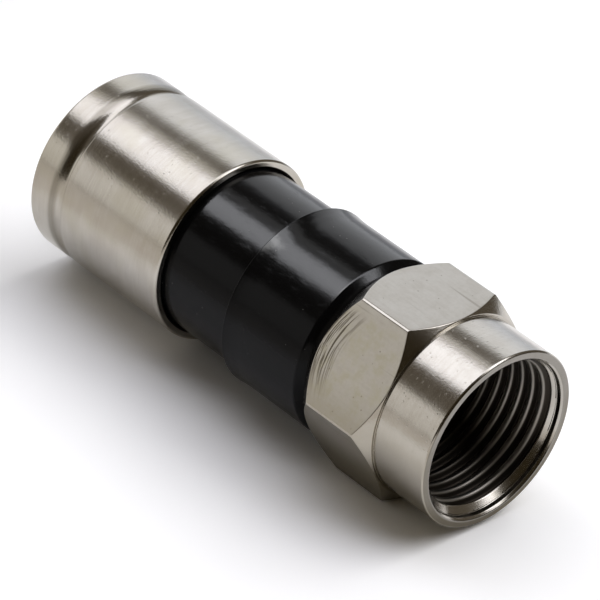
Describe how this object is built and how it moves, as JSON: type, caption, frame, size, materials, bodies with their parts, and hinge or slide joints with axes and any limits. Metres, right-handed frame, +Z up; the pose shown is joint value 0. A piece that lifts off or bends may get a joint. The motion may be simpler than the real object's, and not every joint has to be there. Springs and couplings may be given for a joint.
{
  "type": "f connector",
  "caption": "Compression F connector for coaxial cable: threaded hex coupling nut, black body with inner post, and sliding metal sleeve.",
  "frame": {"origin": "centre of the post's front face, inside the nut, where the mating socket's end seats", "axes": "+X along the connector's axis, out of the nut's mouth; +Z up, with one flat of the hexagon up and one down; it lies on its side"},
  "size_m": [0.032, 0.0128, 0.0112],
  "materials": {
    "nut_plate": "satin nickel plate over turned brass",
    "post_plate": "nickel plate over turned brass",
    "seal_rubber": "matt black",
    "black_plastic": "semi-gloss moulded",
    "sleeve_plate": "fine brushed nickel plate over turned brass"
  },
  "bodies": {
    "housing": {"connector_body": "black_plastic", "center_post": "post_plate", "seal_ring": "seal_rubber"},
    "nut": {"coupling_nut": "nut_plate"},
    "sleeve": {"compression_sleeve": "sleeve_plate"}
  },
  "joints": [
    {"name": "nut_spin", "type": "hinge", "parent": "housing", "child": "nut", "pos_m": [0, 0, 0], "axis": [1, 0, 0], "continuous": true},
    {"name": "sleeve_slide", "type": "slide", "parent": "housing", "child": "sleeve", "axis": [1, 0, 0], "range_m": [0, 0.00528]}
  ]
}
